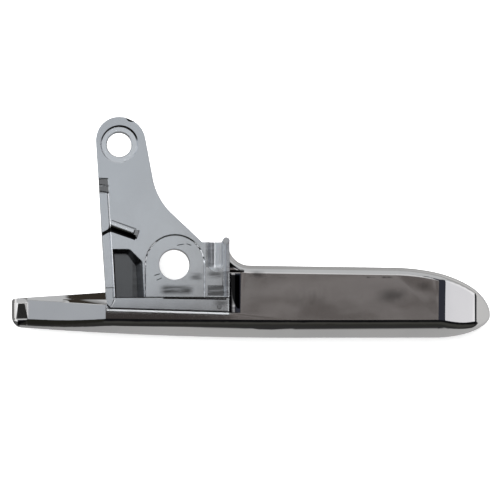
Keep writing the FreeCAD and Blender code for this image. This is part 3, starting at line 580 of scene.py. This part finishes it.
def tail_block_reflection(g):
    """Mask of painted dark reflection: the block on the tail's last facet and the dark end of the front
    rim.
    """
    block_up = g.math("SUBTRACT", g.y, TAIL_BLOCK_Y[0])
    block_left, block_right = (
        g.math("SUBTRACT", g.math("SUBTRACT", g.x, side), g.math("MULTIPLY", block_up, side_lean))
        for side, side_lean in (TAIL_BLOCK_LEFT, TAIL_BLOCK_RIGHT))
    block = g.all_of(
        g.over(block_left, 0.0, WIDE_SOFT), g.under(block_right, SOFT, WIDE_SOFT),
        g.band(g.y, *TAIL_BLOCK_Y, TAIL_BLOCK_SOFT), g.on_tail, TAIL_BLOCK_DARKNESS)
    start, end, width, strength = TAIL_RIM_END
    rim_end = g.all_of(g.stroke(g.x, g.y, start, end, width), g.tail_end, strength)
    return g.either(block, rim_end)


def shade_lines_and_scratches(g):
    """Mask of painted shade along the foot of the arm and in dark strokes on the arm, with the real
    scratches among the strokes.
    """
    foot_line = g.band(g.from_foot, FOOT_LINE, FOOT_LINE + FOOT_LINE_WIDTH, LINE_SOFT)
    dark = g.all_of(foot_line, g.above, g.left_of_lug, FOOT_LINE_SHADE)
    for start, end, width, strength in SHADE_STROKES_AND_SCRATCHES.values():
        dark = g.either(dark, g.all_of(g.stroke(g.x, g.y, start, end, width), g.above, strength))
    return dark


def tail_rounding(g):
    """Height that rounds the tail's last facet towards its edges, and the bevel towards its crease."""
    back_fall = g.math("MAXIMUM", g.math("SUBTRACT", g.y, TAIL_FACET_BACK_Y), 0.0)
    front_rise = g.math("MAXIMUM", g.math("SUBTRACT", TAIL_FACET_FRONT_Y, g.y), 0.0)
    front_rise = g.math("MINIMUM", front_rise, TAIL_FACET_BORDER)
    facet = g.math("MULTIPLY", g.math("SUBTRACT", front_rise, back_fall), TAIL_FACET_SLOPE)
    facet = g.all_of(facet, g.under(g.x, TAIL_FACET_X, WIDE_SOFT))
    along = g.math("SUBTRACT", g.x, BEVEL_CREASE[0])
    lean = g.math("MULTIPLY", along, BEVEL_LEAN)
    from_crease = g.math("SUBTRACT", g.math("SUBTRACT", g.y, BEVEL_CREASE[1]), lean)
    wide = g.math("ADD", g.math("MULTIPLY", along, BEVEL_NARROWING), BEVEL_ROUND)
    to_crease = g.math("MAXIMUM", g.math("SUBTRACT", wide, from_crease), 0.0)
    bevel = g.all_of(
        to_crease, g.over(from_crease, 0.0, SOFT), -BEVEL_SLOPE,
        g.band(g.x, *BEVEL_X, BEVEL_SOFT), g.under(g.z, BEVEL_Z, WIDE_SOFT))
    return g.math("ADD", facet, bevel)


def plating_normal(g):
    """Normal with soft edges, a slight wave, and the rounding of the tail."""
    soft = g.add("ShaderNodeBevel", {"Radius": EDGE_SOFTNESS}, samples=EDGE_SAMPLES)
    arm_grain = g.math("MULTIPLY", g.grain, g.blend(g.arm, 0.0, ARM_GRAIN_HEIGHT))
    height = g.math("ADD", g.math("MULTIPLY", g.wave, WAVE_HEIGHT), arm_grain)
    waved = g.add("ShaderNodeBump", {"Strength": WAVE_STRENGTH, "Distance": WAVE_DEPTH, "Height": height})
    g.put(waved.inputs["Normal"], soft.outputs["Normal"])
    rounded = g.add("ShaderNodeBump", {"Strength": 1.0, "Distance": 1.0, "Height": tail_rounding(g)})
    g.put(rounded.inputs["Normal"], waved.outputs["Normal"])
    return rounded.outputs["Normal"]


def plating():
    """Bright plating, satin on the arm and polished on the grip."""
    material = bpy.data.materials.new("plating")
    material.use_nodes = True
    g = Plate(material.node_tree)
    pocket = g.all_of(g.band(g.x, *POCKET_X, SOFT), g.band(g.y, *POCKET_Y, SOFT), g.ramp(g.z, *POCKET_Z))
    channel = g.all_of(
        g.band(g.x, *CHANNEL_X, SOFT), g.over(g.y, CHANNEL_Y, WIDE_SOFT),
        g.under(g.z, CHANNEL_Z, HAIR_SOFT), g.above)
    # Painted shade and painted dark reflections, with the real scratches among the strokes
    dark = g.either(hole_shade(g), shade_lines_and_scratches(g), lug_side_shade(g), tail_block_reflection(g))

    tone = g.mix(g.arm, POLISHED_TONE, SATIN_TONE)
    tone = g.mix(g.all_of(g.ramp(g.cloud, *CLOUD_RANGE), CLOUD_STRENGTH), tone, CLOUD_TONE)
    # Darker patches, some of them painted shade, the ejector ring and clouds
    tone = g.mix(darkening_mask(g), tone, DARK_PATCH_TONE)
    # Painted shade in the pocket
    tone = g.mix(g.all_of(pocket, POCKET_PAINTED_SHADE), tone, DARK_PATCH_TONE)
    tone = g.mix(dark, tone, DARK_TONE)
    roughness = g.blend(g.arm, POLISHED_ROUGHNESS, SATIN_ROUGHNESS)
    roughness = g.blend(pocket, roughness, POCKET_ROUGHNESS)
    roughness = g.blend(channel, roughness, CHANNEL_ROUGHNESS)
    roughness = g.math("ADD", roughness, g.math("MULTIPLY", g.grain, GRAIN_ROUGHNESS))
    # Painted highlights: duller metal there takes the lamp's light
    metal = g.blend(painted_highlights(g), SATIN_METAL, HIGHLIGHT_METAL)
    surface = g.add("ShaderNodeBsdfPrincipled", {
        "Base Color": tone, "Metallic": metal, "Roughness": roughness, "Normal": plating_normal(g)})
    out = g.add("ShaderNodeOutputMaterial")
    g.put(out.inputs["Surface"], surface.outputs["BSDF"])
    return material


def floor_paint():
    """Plain white floor that keeps the shadow. In mirrors it is grey, and dark out in front."""
    material = bpy.data.materials.new("floor_paint")
    material.use_nodes = True
    g = Graph(material.node_tree)
    place = g.add("ShaderNodeTexCoord").outputs["Object"]
    split = g.add("ShaderNodeSeparateXYZ", {"Vector": place})
    tint = g.mix(g.noise(place, FLOOR_NOISE), (FLOOR_WHITE,) * 3, (FLOOR_WHITE + FLOOR_VARIATION,) * 3)
    matte = g.add("ShaderNodeBsdfDiffuse", {"Color": tint})
    glow = g.add("ShaderNodeEmission", {"Color": rgba(WHITE), "Strength": FLOOR_GLOW})
    lit = g.add("ShaderNodeAddShader")
    g.put(lit.inputs[0], matte.outputs[0])
    g.put(lit.inputs[1], glow.outputs[0])
    x = split.outputs["X"]
    under = g.blend(g.ramp(x, *FLOOR_LEFT_X), FLOOR_UNDER, FLOOR_LEFT)
    under = g.blend(g.ramp(x, *FLOOR_BEYOND_X), under, FLOOR_BEYOND)
    for edge, brightness in (FLOOR_END, FLOOR_END_LINE, FLOOR_END_BEYOND):
        under = g.blend(g.under(x, edge, FLOOR_END_SOFT), under, brightness)
    front = g.under(split.outputs["Y"], FLOOR_FRONT_Y, FLOOR_FRONT_SOFT)
    mirrored = g.add("ShaderNodeEmission", {"Color": rgba(WHITE)})
    g.put(mirrored.inputs["Strength"], g.blend(front, under, FLOOR_FRONT))
    both = g.add("ShaderNodeMixShader")
    g.put(both.inputs[0], g.add("ShaderNodeLightPath").outputs["Is Glossy Ray"])
    g.put(both.inputs[1], lit.outputs[0])
    g.put(both.inputs[2], mirrored.outputs[0])
    out = g.add("ShaderNodeOutputMaterial")
    g.put(out.inputs["Surface"], both.outputs[0])
    return material


def room():
    """Studio round the object: dark in front, bright behind, with cards to the left and right."""
    world = bpy.data.worlds.new("room")
    bpy.context.scene.world = world
    world.use_nodes = True
    g = Graph(world.node_tree)
    way = g.add("ShaderNodeTexCoord").outputs["Generated"]
    split = g.add("ShaderNodeSeparateXYZ", {"Vector": way})
    x, y, z = split.outputs["X"], split.outputs["Y"], split.outputs["Z"]

    front = g.mix(g.ramp(y, *STREAK_Y), ROOM_BLACK, ROOM_STREAK)
    front = g.mix(g.ramp(y, *DUSK_Y), front, ROOM_DUSK)
    front = g.mix(g.ramp(x, *TAIL_RIM_X), front, ROOM_TAIL_RIM)
    back = g.mix(g.ramp(y, *BEHIND_Y), ROOM_BRIGHT, ROOM_BEHIND)
    low_back = g.all_of(g.ramp(x, *LOW_BACK_X), g.ramp(y, *LOW_BACK_Y), g.ramp(z, *LOW_BACK_Z))
    back = g.mix(low_back, back, ROOM_LOW)
    back_card = g.all_of(g.ramp(x, *BACK_CARD_X), g.ramp(y, *BACK_CARD_Y), g.band(z, *BACK_CARD_Z))
    back = g.mix(back_card, back, ROOM_BACK_CARD)
    colour = g.mix(g.ramp(y, *FRONT_TO_BACK_Y), front, back)

    # Overhead: a shade, a clouded brown card, and the grey card over the arm
    clouds = g.ramp(g.noise(way, *BROWN_NOISE), *BROWN_CLOUDS)
    brown = g.mix(clouds, ROOM_BROWN_DARK, ROOM_BROWN)
    overhead = g.mix(g.ramp(x, *BROWN_X), ROOM_SHADE, brown)
    colour = g.mix(g.all_of(g.band(x, *OVERHEAD_X), g.band(y, *OVERHEAD_Y)), colour, overhead)
    arm_card = g.mix(g.ramp(y, *ARM_CARD_HIGH_Y), ROOM_ARM, ROOM_ARM_HIGH)
    arm_card = g.mix(g.ramp(x, *ARM_CARD_RIGHT_X), arm_card, ROOM_ARM_RIGHT)
    colour = g.mix(g.all_of(g.band(x, *ARM_CARD_X), g.band(y, *ARM_CARD_Y)), colour, arm_card)

    # Sides: each card covers those before it, from the tail on the left to the nose on the right
    level = g.all_of(g.ramp(y, *SIDE_FRONT_Y), g.ramp(y, *SIDE_BACK_Y))
    end_corner = g.all_of(g.ramp(x, *END_CORNER_X), g.ramp(y, *END_CORNER_Y))
    nose_card = g.mix(g.ramp(x, *NOSE_EDGE_X), ROOM_NOSE, ROOM_NOSE_EDGE)
    side_cards = [
        (g.band(x, *TAIL_CARD_X), ROOM_TAIL),
        (g.ramp(x, *TAIL_DARK_X), ROOM_BLACK),
        (g.either(g.ramp(x, *END_CARD_X), end_corner), ROOM_END),
        (g.ramp(x, *CREASE_X), ROOM_CREASE),
        (g.band(x, *NOSE_CARD_X), nose_card),
        (g.ramp(x, *RIGHT_SIDE_X), ROOM_SIDE),
    ]
    for reach, card in side_cards:
        colour = g.mix(g.all_of(reach, level), colour, card)

    seen = g.add("ShaderNodeLightPath").outputs["Is Camera Ray"]
    colour = g.mix(seen, colour, WHITE)
    light = g.add("ShaderNodeBackground", {"Color": colour, "Strength": 1.0})
    out = g.add("ShaderNodeOutputWorld")
    g.put(out.inputs["Surface"], light.outputs[0])


def plated_lever():
    """Copy of the CAD lever with welded facets and smooth shading between sharp edges."""
    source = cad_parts["handle_lever"]
    mesh = source.data.copy()
    mesh.name = "plated_lever"
    work = bmesh.new()
    work.from_mesh(mesh)
    bmesh.ops.remove_doubles(work, verts=work.verts, dist=WELD_DISTANCE)
    limit = math.radians(SHARP_ANGLE)
    for edge in work.edges:
        on_crease = all(abs(vertex.co.x - TAIL_FACET_X) < CREASE_TOLERANCE for vertex in edge.verts)
        turns_little = len(edge.link_faces) == 2 and edge.calc_face_angle(0.0) < limit
        edge.smooth = turns_little and not on_crease
    for face in work.faces:
        face.smooth = True
    work.to_mesh(mesh)
    work.free()
    if "custom_normal" in mesh.attributes:
        mesh.attributes.remove(mesh.attributes["custom_normal"])
    mesh.materials.clear()
    mesh.materials.append(plating())
    lever = bpy.data.objects.new("plated_lever", mesh)
    bpy.context.scene.collection.objects.link(lever)
    weighted = lever.modifiers.new("weighted", "WEIGHTED_NORMAL")
    weighted.keep_sharp = True
    weighted.weight = CORNER_WEIGHT
    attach(lever, "root")
    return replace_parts(lever, "handle_lever")


def floor():
    """Plain floor under the lever."""
    bpy.ops.mesh.primitive_plane_add(size=FLOOR_SIZE, location=(0, 0, FLOOR_Z))
    plane = bpy.context.object
    plane.name = "floor"
    plane.data.materials.append(floor_paint())
    return plane


def lamp():
    """Soft lamp that lights the floor and stays out of the mirrored room."""
    data = bpy.data.lights.new("soft_lamp", "AREA")
    data.shape = "DISK"
    data.size = LAMP_SIZE
    data.energy = LAMP_WATTS
    made = bpy.data.objects.new("soft_lamp", data)
    made.location = LAMP_PLACE
    made.rotation_euler = Vector(LAMP_PLACE).to_track_quat("Z", "Y").to_euler()
    made.visible_glossy = False
    bpy.context.scene.collection.objects.link(made)


def camera():
    """Camera at the photo's viewing angle."""
    data = bpy.data.cameras.new("camera")
    data.sensor_width = SENSOR_MM
    data.lens = LENS_MM
    data.clip_end = CAMERA_REACH
    made = bpy.data.objects.new("camera", data)
    bpy.context.scene.collection.objects.link(made)
    place = Vector(CAMERA_PLACE)
    back = (place - Vector(CAMERA_TARGET)).normalized()
    right = Vector((0, 1, 0)).cross(back).normalized()
    up = back.cross(right)
    turn = Matrix((right, up, back)).transposed().to_4x4()
    made.matrix_world = Matrix.Translation(place) @ turn
    bpy.context.scene.camera = made


plated_lever()
floor()
lamp()
room()
camera()
bpy.context.scene.view_settings.view_transform = "Standard"
